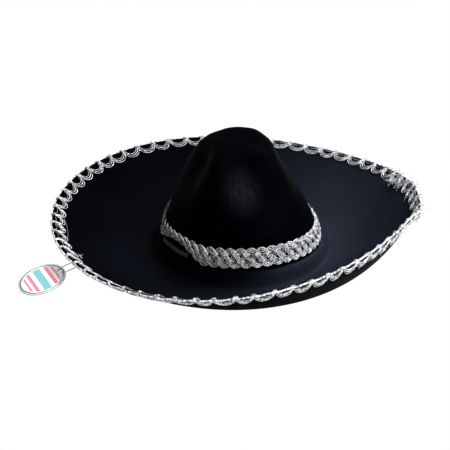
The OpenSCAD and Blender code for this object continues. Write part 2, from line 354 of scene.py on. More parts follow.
def painted_highlight_patch_group():
    """A palm-sized painted highlight in the front dent: a lighter patch of felt colour that stands for the
    key light's sheen on the nap, streaked down the crown.
    """
    group, given, out = new_group("painted_highlight_patch", [("Strength", 1.0)], [("Mask", "NodeSocketFloat")])
    place = add(group, "ShaderNodeTexCoord")
    from_middle = add(group, "ShaderNodeVectorMath", [(0, place.outputs["Object"])], operation="SUBTRACT")
    from_middle.inputs[1].default_value = (-0.013, -0.05, 0.09)
    shape = add(group, "ShaderNodeVectorMath", [(0, from_middle.outputs["Vector"])], operation="MULTIPLY")
    shape.inputs[1].default_value = (1 / 0.03, 1 / 0.036, 1 / 0.036)
    reach = add(group, "ShaderNodeVectorMath", [(0, shape.outputs["Vector"])], operation="LENGTH")
    soft = add(group, "ShaderNodeMapRange", [("Value", reach.outputs["Value"])])
    soft.interpolation_type = "SMOOTHSTEP"
    soft.inputs["From Min"].default_value = 1.0
    soft.inputs["From Max"].default_value = 0.1
    comb = add(group, "ShaderNodeMapping", [("Vector", place.outputs["Object"])])
    comb.inputs["Scale"].default_value = (1.0, 0.3, 0.16)
    streak = add(group, "ShaderNodeTexNoise", [("Vector", comb.outputs["Vector"])], Scale=520.0, Detail=3.0)
    lift = add(group, "ShaderNodeMapRange", [("Value", streak.outputs["Fac"])])
    lift.inputs["From Min"].default_value = 0.3
    lift.inputs["From Max"].default_value = 0.65
    lift.inputs["To Min"].default_value = 0.25
    both = add(group, "ShaderNodeMath", [(0, soft.outputs["Result"]), (1, lift.outputs["Result"])],
               operation="MULTIPLY")
    scaled = add(group, "ShaderNodeMath", [(0, both.outputs[0]), (1, given.outputs["Strength"])],
                 operation="MULTIPLY")
    group.links.new(scaled.outputs[0], out.inputs["Mask"])
    return group


def thread_wrap_group():
    """Fine thread wound round a cord: slanting ridges that follow the cord's own UV."""
    group, given, out = new_group(
        "thread_wrap", [("Turns Per Metre", 1600.0), ("Slant", 1.0)],
        [("Height", "NodeSocketFloat"), ("Painted Glint", "NodeSocketFloat")])
    uv = add(group, "ShaderNodeUVMap", uv_map="UVMap")
    split = add(group, "ShaderNodeSeparateXYZ", [("Vector", uv.outputs["UV"])])
    along = add(group, "ShaderNodeMath", [(0, split.outputs["X"]), (1, given.outputs["Turns Per Metre"])],
                operation="MULTIPLY")
    slanted = add(group, "ShaderNodeMath", [(0, split.outputs["Y"]), (1, given.outputs["Slant"])],
                  operation="MULTIPLY")
    phase = add(group, "ShaderNodeMath", [(0, along.outputs[0]), (1, slanted.outputs[0])], operation="ADD")
    turn = add(group, "ShaderNodeMath", [(0, phase.outputs[0])], operation="MULTIPLY")
    turn.inputs[1].default_value = 2 * math.pi
    ridge = add(group, "ShaderNodeMath", [(0, turn.outputs[0])], operation="SINE")
    place = add(group, "ShaderNodeTexCoord")
    # painted glints: noise that the silver materials use to brighten spots of their base colour
    painted_glint = add(group, "ShaderNodeTexNoise", [("Vector", place.outputs["Object"])], Scale=420.0, Detail=3.0)
    group.links.new(ridge.outputs[0], out.inputs["Height"])
    group.links.new(painted_glint.outputs["Fac"], out.inputs["Painted Glint"])
    return group


def paper_group():
    """Paper and card: short fibres and faint mottling."""
    group, given, out = new_group(
        "card_fibre", [("Fibre Scale", 1500.0)],
        [("Height", "NodeSocketFloat"), ("Mottle", "NodeSocketFloat")])
    place = add(group, "ShaderNodeTexCoord")
    fibre = add(group, "ShaderNodeTexNoise", [("Vector", place.outputs["Object"]),
                                              ("Scale", given.outputs["Fibre Scale"])],
                Detail=5.0, Roughness=0.7, Distortion=1.2)
    mottle = add(group, "ShaderNodeTexNoise", [("Vector", place.outputs["Object"])], Scale=120.0, Detail=3.0)
    group.links.new(fibre.outputs["Fac"], out.inputs["Height"])
    group.links.new(mottle.outputs["Fac"], out.inputs["Mottle"])
    return group


FELT_NAP = felt_nap_group()
PAINTED_HIGHLIGHT_PATCH = painted_highlight_patch_group()
THREAD_WRAP = thread_wrap_group()
CARD_FIBRE = paper_group()


def use_group(tree, group, **values):
    """Places a shared group in a material with its own values."""
    node = tree.nodes.new("ShaderNodeGroup")
    node.node_tree = group
    for key, value in values.items():
        node.inputs[key.replace("_", " ")].default_value = value
    return node


def bump(tree, shader, height, strength, distance):
    """Raises the surface by height, with distance in metres."""
    node = add(tree, "ShaderNodeBump", [("Height", height)], Strength=strength, Distance=distance)
    tree.links.new(node.outputs["Normal"], shader.inputs["Normal"])
    return node


def felt_material(name, dark, light, dent_highlight):
    """Black wool felt; the last argument sets how strongly the painted highlight in the front dent shows."""
    mat, tree, shader = new_material(name)
    nap = use_group(tree, FELT_NAP, Fibre_Scale=1100.0, Cloud_Scale=16.0)
    mixed = add(tree, "ShaderNodeMath", [(0, nap.outputs["Cloud"]), (1, nap.outputs["Nap"])],
                operation="MULTIPLY")
    tone = ramp(tree, mixed.outputs[0], [(0.12, dark), (0.42, light)])
    rough = add(tree, "ShaderNodeMapRange", [("Value", nap.outputs["Nap"])])
    rough.inputs["To Min"].default_value = 0.58
    rough.inputs["To Max"].default_value = 0.76
    patch = use_group(tree, PAINTED_HIGHLIGHT_PATCH, Strength=dent_highlight)
    # painted highlight: the patch mask mixes a lighter felt colour in where the dent catches the light
    lit = tree.nodes.new("ShaderNodeMix")
    lit.data_type = "RGBA"
    lit.inputs["B"].default_value = (0.028, 0.031, 0.038, 1)
    tree.links.new(tone.outputs["Color"], lit.inputs["A"])
    tree.links.new(patch.outputs["Mask"], lit.inputs["Factor"])
    tree.links.new(lit.outputs["Result"], shader.inputs["Base Color"])
    tree.links.new(rough.outputs["Result"], shader.inputs["Roughness"])
    shader.inputs["Specular IOR Level"].default_value = 0.05
    shader.inputs["Specular Tint"].default_value = (0.5, 0.7, 1.0, 1)
    bump(tree, shader, nap.outputs["Height"], 0.4, 0.00008)
    return mat


def silver_material(name, turns, tone, rough_low, rough_high, metal=0.35):
    """Metal thread wound on a cotton core: painted glints, bright spots of base colour over a darker ground.
    """
    mat, tree, shader = new_material(name)
    wrap = use_group(tree, THREAD_WRAP, Turns_Per_Metre=turns, Slant=1.0)
    dull = tuple(0.26 * c for c in tone)
    color = ramp(tree, wrap.outputs["Painted Glint"], [(0.38, dull), (0.54, tone)])
    rough = add(tree, "ShaderNodeMapRange", [("Value", wrap.outputs["Painted Glint"])])
    rough.inputs["To Min"].default_value = rough_high
    rough.inputs["To Max"].default_value = rough_low
    tree.links.new(color.outputs["Color"], shader.inputs["Base Color"])
    tree.links.new(rough.outputs["Result"], shader.inputs["Roughness"])
    shader.inputs["Metallic"].default_value = metal
    bump(tree, shader, wrap.outputs["Height"], 0.6, 0.00012)
    return mat


def thread_material(name, dark, light):
    """Twisted sewing thread."""
    mat, tree, shader = new_material(name)
    wrap = use_group(tree, THREAD_WRAP, Turns_Per_Metre=900.0, Slant=1.0)
    # painted shade: the colour follows the wound ridges, dark in the grooves and lighter on the crests
    color = ramp(tree, wrap.outputs["Height"], [(0.0, dark), (1.0, light)])
    tree.links.new(color.outputs["Color"], shader.inputs["Base Color"])
    shader.inputs["Roughness"].default_value = 0.75
    bump(tree, shader, wrap.outputs["Height"], 0.5, 0.0001)
    return mat


def metal_material(name, tone, scale):
    """Drawn wire or crimped tube, with fine marks along it."""
    mat, tree, shader = new_material(name)
    place = add(tree, "ShaderNodeTexCoord")
    marks = add(tree, "ShaderNodeTexNoise", [("Vector", place.outputs["Object"])], Scale=scale, Detail=4.0)
    color = ramp(tree, marks.outputs["Fac"], [(0.3, tuple(0.6 * c for c in tone)), (0.7, tone)])
    rough = add(tree, "ShaderNodeMapRange", [("Value", marks.outputs["Fac"])])
    rough.inputs["To Min"].default_value = 0.25
    rough.inputs["To Max"].default_value = 0.5
    tree.links.new(color.outputs["Color"], shader.inputs["Base Color"])
    tree.links.new(rough.outputs["Result"], shader.inputs["Roughness"])
    shader.inputs["Metallic"].default_value = 1.0
    bump(tree, shader, marks.outputs["Fac"], 0.2, 0.0001)
    return mat


def tape_material(name):
    """Woven grosgrain tape: ribs across the tape."""
    mat, tree, shader = new_material(name)
    uv = add(tree, "ShaderNodeUVMap", uv_map="UVMap")
    split = add(tree, "ShaderNodeSeparateXYZ", [("Vector", uv.outputs["UV"])])
    turns = add(tree, "ShaderNodeMath", [(0, split.outputs["X"])], operation="MULTIPLY")
    turns.inputs[1].default_value = 2 * math.pi * 900
    rib = add(tree, "ShaderNodeMath", [(0, turns.outputs[0])], operation="SINE")
    nap = use_group(tree, FELT_NAP, Fibre_Scale=1600.0, Cloud_Scale=30.0)
    height = add(tree, "ShaderNodeMath", [(0, rib.outputs[0]), (1, nap.outputs["Height"])], operation="ADD")
    # painted shade between the ribs: the colour follows the ribs' height, darker in the grooves, with the
    # nap's random tone mixed in
    color = ramp(tree, height.outputs[0], [(0.1, (0.004, 0.004, 0.006)), (0.9, (0.018, 0.018, 0.024))])
    tree.links.new(color.outputs["Color"], shader.inputs["Base Color"])
    shader.inputs["Roughness"].default_value = 0.6
    shader.inputs["Sheen Weight"].default_value = 0.2
    bump(tree, shader, height.outputs[0], 0.4, 0.0002)
    return mat


def nylon_material(name):
    """Clear, slightly hazy nylon."""
    mat, tree, shader = new_material(name)
    place = add(tree, "ShaderNodeTexCoord")
    haze = add(tree, "ShaderNodeTexNoise", [("Vector", place.outputs["Object"])], Scale=600.0, Detail=2.0)
    color = ramp(tree, haze.outputs["Fac"], [(0.3, (0.72, 0.75, 0.76)), (0.7, (0.9, 0.92, 0.92))])
    rough = add(tree, "ShaderNodeMapRange", [("Value", haze.outputs["Fac"])])
    rough.inputs["To Min"].default_value = 0.18
    rough.inputs["To Max"].default_value = 0.34
    tree.links.new(color.outputs["Color"], shader.inputs["Base Color"])
    tree.links.new(rough.outputs["Result"], shader.inputs["Roughness"])
    shader.inputs["Transmission Weight"].default_value = 0.35
    shader.inputs["IOR"].default_value = 1.5
    bump(tree, shader, haze.outputs["Fac"], 0.15, 0.0001)
    return mat


TEAL, RED, GREY = (0.12, 0.42, 0.46), (0.75, 0.13, 0.22), (0.24, 0.3, 0.29)
PRINT_R = 0.0222
EDGE_LINE = (0.0236, 0.0256)
STRIPES = (  # low side, high side, ink
    (-0.0044, 0.0044, TEAL),
    (0.0088, 0.0128, RED), (0.0158, 0.0182, RED),
    (-0.0128, -0.0088, RED), (-0.0182, -0.0158, RED))


def between(tree, value, low, high):
    """A mask that is 1 where value lies between low and high."""
    above = add(tree, "ShaderNodeMath", [(0, value)], operation="GREATER_THAN")
    above.inputs[1].default_value = low
    below = add(tree, "ShaderNodeMath", [(0, value)], operation="LESS_THAN")
    below.inputs[1].default_value = high
    both = add(tree, "ShaderNodeMath", [(0, above.outputs[0]), (1, below.outputs[0])], operation="MULTIPLY")
    return both.outputs[0]


def paint_over(tree, under, mask, ink):
    """The colour under, with ink (a colour) laid over it where mask is 1."""
    mix = tree.nodes.new("ShaderNodeMix")
    mix.data_type = "RGBA"
    mix.inputs["B"].default_value = (*ink, 1)
    tree.links.new(under, mix.inputs["A"])
    tree.links.new(mask, mix.inputs["Factor"])
    return mix.outputs["Result"]


def stripes_over(tree, board):
    """Stripes across the card and a line round its edge. The card's UV is in metres from its middle."""
    uv = add(tree, "ShaderNodeUVMap", uv_map="UVMap")
    split = add(tree, "ShaderNodeSeparateXYZ", [("Vector", uv.outputs["UV"])])
    radius = add(tree, "ShaderNodeVectorMath", [(0, uv.outputs["UV"])], operation="LENGTH").outputs["Value"]
    field = between(tree, radius, -1.0, PRINT_R)
    color = board
    for low, high, ink in STRIPES:
        stripe = between(tree, split.outputs["Y"], low, high)
        bar = add(tree, "ShaderNodeMath", [(0, stripe), (1, field)], operation="MULTIPLY")
        color = paint_over(tree, color, bar.outputs[0], ink)
    return paint_over(tree, color, between(tree, radius, *EDGE_LINE), GREY)


def card_material(name, dark, light, rough_low, rough_high, printed):
    """Tag card, glazed and printed on one leaf and plain on the other."""
    mat, tree, shader = new_material(name)
    fibre = use_group(tree, CARD_FIBRE, Fibre_Scale=1500.0)
    board = ramp(tree, fibre.outputs["Mottle"], [(0.3, dark), (0.7, light)]).outputs["Color"]
    color = stripes_over(tree, board) if printed else board
    rough = add(tree, "ShaderNodeMapRange", [("Value", fibre.outputs["Height"])])
    rough.inputs["To Min"].default_value = rough_low
    rough.inputs["To Max"].default_value = rough_high
    tree.links.new(color, shader.inputs["Base Color"])
    tree.links.new(rough.outputs["Result"], shader.inputs["Roughness"])
    bump(tree, shader, fibre.outputs["Height"], 0.15, 0.0001)
    return mat


FELT = felt_material("felt_black", (0.0004, 0.0006, 0.0014), (0.0021, 0.0029, 0.0056), 0.0)
# the crown's felt carries the painted highlight in its front dent
CROWN_FELT = felt_material("felt_black_crown", (0.0003, 0.0004, 0.001), (0.0024, 0.0031, 0.0055), 1.0)
SILVER = silver_material("silver_gimp", 1500.0, (0.95, 0.96, 0.98), 0.2, 0.42)
FINE_SILVER = silver_material("silver_fine_thread", 2600.0, (0.92, 0.93, 0.95), 0.2, 0.45, 0.4)
# painted shade: a darkened, duller silver for the hatband's lapped end, which sits in the brim's shade
SHADED_SILVER = silver_material("silver_painted_shade", 1500.0, (0.3, 0.28, 0.22), 0.3, 0.5)
THREAD = thread_material("black_thread", (0.004, 0.004, 0.006), (0.02, 0.02, 0.026))
WIRE = metal_material("spring_wire", (0.35, 0.36, 0.38), 900.0)
FERRULE = metal_material("crimped_ferrule", (0.55, 0.52, 0.46), 500.0)
TAPE = tape_material("sweatband_tape")
NYLON = nylon_material("clear_nylon")
CARD_FRONT = card_material("card_printed", (0.8, 0.81, 0.8), (0.88, 0.88, 0.87), 0.32, 0.5, True)
# painted shade: the back leaf's card is a darker grey, for the shade it sits in behind the front leaf
CARD_SHADED_LEAF = card_material("card_grey_painted_shade", (0.42, 0.46, 0.46), (0.52, 0.56, 0.56), 0.7, 0.9, False)


def finish_piece(piece, material, body, slot, *replaced):
    """Gives a piece its material and body, and hides the CAD nodes it stands for; slot is not used."""
    piece.data.materials.clear()
    piece.data.materials.append(material)
    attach(piece, body)
    if replaced:
        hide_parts(*replaced)
    return piece


# ---------- felt ----------
def ripple(points, scale, height):
    """Slow uneven swell of blocked felt, worked out from a few fixed waves."""
    total = np.zeros(points.shape[:-1])
    waves = np.random.default_rng(3)
    for _ in range(7):
        direction = waves.normal(size=3)
        direction /= np.linalg.norm(direction)
        total += np.sin(points @ direction * waves.uniform(0.6, 1.6) / scale + waves.uniform(0, 6.3))
    return height * total / 7


def flange_low(p, mm):
    """Height of the flange's under face, mm out from the crown's foot. It follows the brim above it."""
    z0 = seam_z(p) - GAP - FLANGE_T
    t1 = fall_t(p, FLANGE_W - GAP)
    z1 = seam_z(p) * (1 + cos_d(180 * t1)) / 2 - GAP - FLANGE_T
    return z0 + (z1 - z0) * (mm + FELT_T) / (FLANGE_W + FELT_T)


def flange_rings(p):
    """The flange turned out under the brim, from the seam round its edge to the inside of the wall."""
    rb = oval(p, CROWN_W, CROWN_L)
    tip = FLANGE_W - 0.4
    return [around(p, rb, seam_z(p) - GAP),
            around(p, rb + 3.0, flange_low(p, 3.0) + FLANGE_T + 0.1),
            around(p, rb + tip, flange_low(p, tip) + FLANGE_T),
            around(p, rb + FLANGE_W, flange_low(p, FLANGE_W) + FLANGE_T / 2),
            around(p, rb + tip, flange_low(p, tip)),
            around(p, rb + 2.0, flange_low(p, 2.0)),
            around(p, rb - FELT_T, flange_low(p, -FELT_T))]


def crown_felt():
    """The blocked crown, both faces of the felt, with its flange."""
    turns = 288
    p = np.linspace(0, 360, turns, endpoint=False)[:, None]
    u = np.concatenate([np.linspace(0.012, 0.9, 56), np.linspace(0.91, 1, 8)])[None, :]
    calm = np.clip((0.9 - u) / 0.2, 0, 1)
    swell = ripple(crown_pt(p, u, 0.0), 16.0, 0.9) * calm
    outer = crown_pt(p, u, swell)
    inner = crown_pt(p, u, swell - FELT_T)
    rows = np.concatenate([outer, *flange_rings(p), inner[:, ::-1]], axis=1)
    cols = rows.shape[1]
    points = rows.reshape(-1, 3)
    faces = grid_faces(turns, cols, True, False).tolist()
    top = len(points)
    apex = [outer[:, 0].mean(0), inner[:, 0].mean(0)]
    for i in range(turns):
        j = (i + 1) % turns
        faces.append([top, j * cols, i * cols])
        faces.append([top + 1, i * cols + cols - 1, j * cols + cols - 1])
    return make_piece("crown_felt", np.concatenate([points, apex]), faces)


ROLL_R = 1.2


def brim_felt():
    """The brim, both faces of the felt, with its edge rolled round the wire."""
    turns = 540
    p = np.linspace(0, 360, turns, endpoint=False)[:, None]
    fall, flat, rise = np.linspace(0, 1, 10), np.linspace(1.25, 2, 4), np.linspace(2.03, 2.995, 56)
    t = np.concatenate([fall, flat, rise])[None, :]
    calm = np.clip((t - 2.1) / 0.3, 0, 1) * np.clip((2.86 - t) / 0.08, 0, 1)
    swell = ripple(brim_pt(p, t, 0.0), 30.0, 1.1) * calm
    under = brim_pt(p, t, swell)
    upper = brim_pt(p, t, FELT_T + swell)
    a = np.linspace(115, -115, 13)[None, :]
    roll = edge_pt(p, WIRE_S + ROLL_R * cos_d(a), FELT_T / 2 + ROLL_R * sin_d(a))
    rows = np.concatenate([upper, roll, under[:, ::-1]], axis=1)
    cols = rows.shape[1]
    return make_piece("brim_felt", rows.reshape(-1, 3), grid_faces(turns, cols, True, True).tolist())


crown = finish_piece(crown_felt(), CROWN_FELT, "hat", "felt", "crown")
brim = finish_piece(brim_felt(), FELT, "hat", "felt", "brim")


# ---------- rim braid ----------
FOLD_R = 2.05
CORD_R, THIN_CORD_R, CORD_GAP = 0.9, 0.5, 2.9
CORD_LAY, CROSS_LIFT = 4.4, 0.8
RIM_IN, RIM_OUT = 14.3, 10.2
RIM_MM = 3.35  # along the rim, for one degree
STEP_P = 360 / LOOPS


def fold_pt(p, w, lift):
    """A point of the braid folded over the brim's edge, and the way out of the fold there.

    w is measured round the fold from its outermost line: negative over the upper face and positive
    over the under face.
    """
    p, w, lift = np.broadcast_arrays(np.asarray(p, float), w, lift)
    radius = FOLD_R + lift
    turn = np.clip(w / FOLD_R, -math.pi / 2, math.pi / 2)
    past = np.maximum(np.abs(w) - FOLD_R * math.pi / 2, 0)
    s = WIRE_S + radius * np.cos(turn) - past
    off = FELT_T / 2 - radius * np.sin(turn)
    point = edge_pt(p, s, off)
    slope = brim_line(p, 3 + np.minimum(s, 0) / CURL_LEN)[2]
    out_r = np.cos(turn) * np.cos(slope) + np.sin(turn) * np.sin(slope)
    out_z = np.cos(turn) * np.sin(slope) - np.sin(turn) * np.cos(slope)
    return point, around(p, out_r, out_z)


def wave(phase, reach_in, reach_out, inner=0.6):
    """One strand that swings over the edge and back: pitch counts and w for a phase in half turns.

    inner squares up the loops of the upper face.
    """
    a = phase * math.pi
    swing = np.sin(a)
    fullness = np.where(swing > 0, inner, 0.05)
    w = np.where(swing > 0, -reach_in * np.abs(swing) ** 0.9, reach_out * np.abs(swing) ** 0.9)
    pitch = phase - fullness * np.sin(2 * a) / (2 * math.pi)
    return pitch, w


knot_shift = rng.normal(0, 0.035, 2 * LOOPS)
knot_reach = 1 + rng.normal(0, 0.05, 2 * LOOPS)


def uneven(values, phase):
    """Reads a row of per-loop values smoothly at any phase."""
    i = np.floor(phase).astype(int)
    f = phase - i
    f = f * f * (3 - 2 * f)
    n = len(values)
    return values[i % n] * (1 - f) + values[(i + 1) % n] * f


def rim_strand(offset):
    """A strand that goes twice round the rim, since the number of loops is odd."""
    per_loop = 18
    phase = np.arange(2 * LOOPS * per_loop) / per_loop
    pitch, w = wave(phase, RIM_IN, RIM_OUT, 0.4 - 0.22 * cos_d(phase * STEP_P))
    w = w * uneven(knot_reach, phase)
    x = pitch * STEP_P * RIM_MM
    dx = np.roll(x, -1) - np.roll(x, 1)
    dx[0] = dx[1]
    dx[-1] = dx[-2]
    dw = np.roll(w, -1) - np.roll(w, 1)
    size = np.hypot(dx, dw)
    held = offset * (0.42 + 0.58 * np.sin(phase * math.pi) ** 2)
    x = x + held * dw / size
    w = w - held * dx / size
    p = x / RIM_MM + uneven(knot_shift, phase) * STEP_P
    over = CROSS_LIFT * np.abs(np.cos(phase * math.pi)) ** 4
    return p, w, np.where(phase < LOOPS, over, 0.0)


def rim_loops():
    """The loops. The part over the upper face and the part over the under face are two pieces."""
    upper, under = Cords(), Cords()
    for offset, radius in ((CORD_GAP, CORD_R), (0.0, CORD_R), (-0.95 * CORD_GAP, THIN_CORD_R)):
        p, w, lift = rim_strand(offset)
        points, up = fold_pt(p, w, lift)
        for side, cords in ((-1, upper), (1, under)):
            held = side * w > 0
            split = np.flatnonzero(np.diff(held.astype(int)))
            edges = np.concatenate([[0], split + 1, [len(w)]])
            for a, b in zip(edges[:-1], edges[1:]):
                if held[a] and b - a > 3:
                    run = np.arange(a, b + 1) % len(w)
                    cords.rope(points[run], up[run], radius, CORD_LAY, sides=5)
    return upper, under


FINE_R = 0.24


def rim_threads(side, depths):
    """Thin threads lying across the inside of each loop, along the edge.

    side is -1 on the upper face, where they are worn away at the back, and 1 on the under face.
    """
    cords = Cords()
    for k in range(LOOPS):
        if side < 0 and 165 < k * STEP_P < 245:
            continue
        for depth in depths:
            a = np.linspace(0.13, 0.87, 9)
            bow = np.sin(a * math.pi)
            p = (k + a + 0.03 * rng.normal()) * STEP_P
            w = side * (2.6 + depth * bow * (1 + 0.12 * rng.normal()))
            points, up = fold_pt(p, w, -0.45 + 0.25 * bow)
            cords.tube(points, up, FINE_R, 4)
    return cords


HEADER_R, HEADER_LAY = 1.35, 5.6


def rim_header():
    """Two-ply cord along the fold, over the crossings of the loops."""
    cords = Cords()
    n = LOOPS * 18
    p = np.arange(n) * 360 / n
    w = FOLD_R * np.radians(24 - 22 * sin_d(p))
    points, up = fold_pt(p, w + 0.25 * np.sin(np.radians(p) * LOOPS), 0.0)
    cords.rope(points, up, HEADER_R, HEADER_LAY, sides=6, closed=True)
    return cords


upper_loops, under_loops = rim_loops()
finish_piece(upper_loops.piece("rim_loops_upper"), SILVER, "hat", "silver_braid", "rim_scallops_inner")
finish_piece(under_loops.piece("rim_loops_under"), SILVER, "hat", "silver_braid", "rim_scallops_outer")
finish_piece(rim_header().piece("rim_header_cord"), SILVER, "hat", "silver_braid", "rim_braid_header")
finish_piece(rim_threads(-1, (3.6,)).piece("rim_threads_upper"), FINE_SILVER, "hat", "silver_braid")
finish_piece(rim_threads(1, (5.0, 2.4)).piece("rim_threads_under"), FINE_SILVER, "hat", "silver_braid")


# ---------- hatband ----------
def plait(place, p_start, p_end, turns, reach, depth, offsets, radius, lay, samples, closed):
    """Three strands, each a few cords side by side.

    place(p, y, off) gives points, and turns counts the waves of one strand.
    """
    cords = Cords()
    count = int(samples * turns)
    f = np.arange(count) / count if closed else np.linspace(0, 1, count)
    p = p_start + f * (p_end - p_start)
    x = place(p, 0.0, 0.0)
    mm_per_turn = np.linalg.norm(np.diff(x, axis=0), axis=1).sum() / turns
    for strand in range(3):
        a = 2 * math.pi * (turns * f + strand / 3)
        y = reach * np.cos(a)
        slope = -reach * np.sin(a) * 2 * math.pi / mm_per_turn
        size = np.sqrt(1 + slope * slope)
        off = depth * (0.75 * np.sin(a) + 0.4 * np.sin(2 * a))
        for k, offset in enumerate(offsets):
            shift = -offset * slope / size
            q = p + shift / mm_per_turn * (p_end - p_start) / turns
            points = place(q, y + offset / size, off)
            up = unit(place(q, y + offset / size, off + 1.0) - points)
            cords.rope(points, up, radius, lay, sides=5, closed=closed, start=k)
    return cords


def lap_bump(p):
    """0 elsewhere and 1 where the band draws in most above its lap."""
    f = np.clip((LAP_FROM - np.asarray(p) % 360) / LAP_SPAN, 0, 1)
    return np.clip(sin_d(180 * f ** 0.8), 0, 1) ** 1.3


BAND_OFF = 2.0
TAIL_H, TAIL_DROP, TAIL_OFF = 9.4, 3.5, GAP + 0.9
RUNNER_Y, RUNNER_R, RUNNER_LAY = 3.9, 0.6, 3.6


def band_place(p, y, off):
    """A point of the band: y is up from its middle line and off is out from the crown."""
    draw = lap_bump(p)
    low = BAND_FOOT + LAP_RISE * draw
    high = BAND_FOOT + BAND_H + LAP_SWELL * draw
    return wall_pt(p, low + (y / BAND_H + 0.5) * (high - low), BAND_OFF + off)


def tail_place(p, y, off):
    """The cut end below the band, sloping down towards its tip."""
    drop = TAIL_DROP * np.clip((-78 - p) / 14, 0, 1) ** 1.5
    return wall_pt(p, TAIL_H + y - drop, TAIL_OFF + 0.6 * off)


def band_runners(cords):
    """Two thin cords that run straight along the band, in and out of the plait."""
    n = 1080
    p = np.arange(n) * 360 / n
    for row, y in enumerate((-RUNNER_Y, RUNNER_Y)):
        a = 2 * math.pi * BAND_TURNS * 3 * p / 360 + row * math.pi
        points = band_place(p, y + 0.7 * np.sin(a), 0.9 + 0.9 * np.cos(a))
        up = unit(band_place(p, y, 3.0) - band_place(p, y, 0.0))
        cords.rope(points, up, RUNNER_R, RUNNER_LAY, sides=4, closed=True)


hatband = plait(band_place, 0, 360, BAND_TURNS, reach=8.6, depth=1.4, offsets=(-1.95, 0.0, 1.95),
                radius=0.92, lay=4.8, samples=54, closed=True)
band_runners(hatband)
finish_piece(hatband.piece("hatband_plait"), SILVER, "hat", "silver_braid", "hatband")
# the lapped end below the band takes the painted-shade silver
tail = plait(tail_place, -92, -55.6, 3.2, reach=1.9, depth=0.7, offsets=(-0.6, 0.6),
             radius=0.5, lay=3.0, samples=36, closed=False)
finish_piece(tail.piece("hatband_tail"), SHADED_SILVER, "hat", "silver_braid", "hatband_lap")


# ---------- the braid's cut end ----------
def lap_end():
    """The last loop and a half of the braid laid over its start."""
    cords = Cords()
    for offset in (-CORD_GAP, 0.0, CORD_GAP):
        a = np.linspace(0, 1.3, 26)
        pitch, w = wave(a, RIM_IN * 0.86, RIM_OUT)
        p = FRAY_P - 6.4 + pitch * STEP_P * 0.9 + offset / RIM_MM
        points, up = fold_pt(p, w + 0.6 * offset, 1.3)
        cords.rope(points, up, CORD_R * 0.9, 3.6, sides=5)
    return cords


FRAY_UP = np.array([0.3, 0.2, 0.93])
TIP_THREAD = (  # angle, place round the fold, lift off the felt
    (88, -6, 1), (87, -10, 2), (85.5, -14, 2.5), (84, -17, 2.5), (83.2, -19.5, 2), (83.6, -22, 1))
SIDE_THREAD = (
    (-88, -13, 0.8), (-92, -17.5, 1.5), (-97, -19.5, 2), (-102, -18, 1.5), (-107, -14, 0.8))


def loose_thread(cords, route, radius):
    """One thread along a route on the fold, tapering a little towards its free end."""
    p, w, lift = np.array(route, float).T
    points, _ = fold_pt(p, w, lift)
    i = np.linspace(0, len(points) - 1, 4 * len(points))
    path = np.stack([np.interp(i, np.arange(len(points)), points[:, k]) for k in range(3)], -1)
    for _ in range(4):
        path[1:-1] = (path[:-2] + 2 * path[1:-1] + path[2:]) / 4
    cords.tube(path, FRAY_UP, np.linspace(radius, 0.7 * radius, len(path)), 4)


def fray_threads():
    """Loose metal threads that spring out of the cut end and along the rim's tip."""
    cords = Cords()
    strays = np.random.default_rng(11)
    # each spot is an angle, a place round the fold, a size, and how strongly it leans inwards
    spots = [(FRAY_P + strays.normal(-1.5, 2.2), strays.uniform(-15, -7), 1.15, 0.9) for _ in range(40)]
    spots += [(FRAY_P + strays.normal(0, 2.5), strays.uniform(-8, 2), 0.7, 0.2) for _ in range(46)]
    spots += [(strays.uniform(66, 99), strays.uniform(-8, 3), 0.65, -0.4) for _ in range(100)]
    spots += [(strays.uniform(20, 66), strays.uniform(0, 8), 0.5, -0.5) for _ in range(110)]
    spots += [(strays.uniform(-79, -73), strays.uniform(-15, -12), 0.5, 0.8) for _ in range(6)]
    for p, w, size, pull in spots:
        start, up = fold_pt(p, w, 0.8)
        along = unit(fold_pt(p + 1, w, 0.8)[0] - start)
        inward = unit(fold_pt(p, w - 2, 0.8)[0] - start)
        heading = unit(strays.normal(0, 0.6) * along + strays.normal(pull, 0.45) * inward
                       + strays.uniform(0.1, 0.7) * up)
        bend = strays.normal(0, 0.32, 3)
        length = strays.uniform(4.0, 10.0) * size
        a = np.linspace(0, 1, 7)[:, None]
        path = start + length * a * heading + length * a * a * bend
        cords.tube(path, FRAY_UP, 0.3 * (1 - 0.35 * a[:, 0]), 4)
    loose_thread(cords, TIP_THREAD, 0.45)
    loose_thread(cords, SIDE_THREAD, 0.26)
    return cords


finish_piece(lap_end().piece("rim_lap_end"), SILVER, "hat", "silver_braid", "rim_braid_lap")
finish_piece(fray_threads().piece("rim_frayed_threads"), FINE_SILVER, "hat", "silver_braid", "rim_braid_fray")


# ---------- inside the crown ----------
TAPE_T = 1.1
TAPE_OUT = -FELT_T - GAP  # the tape's outer face, from the felt's outer face


def sweatband_tape():
    """Ribbed tape inside the crown's foot, with a fold over its lower edge."""
    turns = 216
    p = np.linspace(0, 360, turns, endpoint=False)[:, None]
    profile = np.array([  # height up the wall, and distance from the felt's outer face
        (-0.8, -2.4), (-0.9, -2.85), (-0.6, -3.3), (1.5, -3.4), (5, -3.4), (12, -3.4), (20, -3.4),
        (28, -3.4), (28.9, -3.2), (29, -2.85), (28.8, -2.4), (20, -2.3), (12, -2.3), (5, -2.3)])
    rows = wall_pt(p, profile[None, :, 0], profile[None, :, 1])
    cols = len(profile)
    quads = grid_faces(turns, cols, True, True)
    run = np.linspace(0, 0.58, turns + 1)
    rise = np.linspace(0, 0.06, cols + 1)
    i, j = np.meshgrid(np.arange(turns), np.arange(cols), indexing="ij")
    corners = [np.stack([run[i + a], rise[j + b]], -1) for a, b in ((0, 0), (1, 0), (1, 1), (0, 1))]
    return make_piece("sweatband_tape", rows.reshape(-1, 3), quads.tolist(),
                      np.stack(corners, 2).reshape(-1, 2))


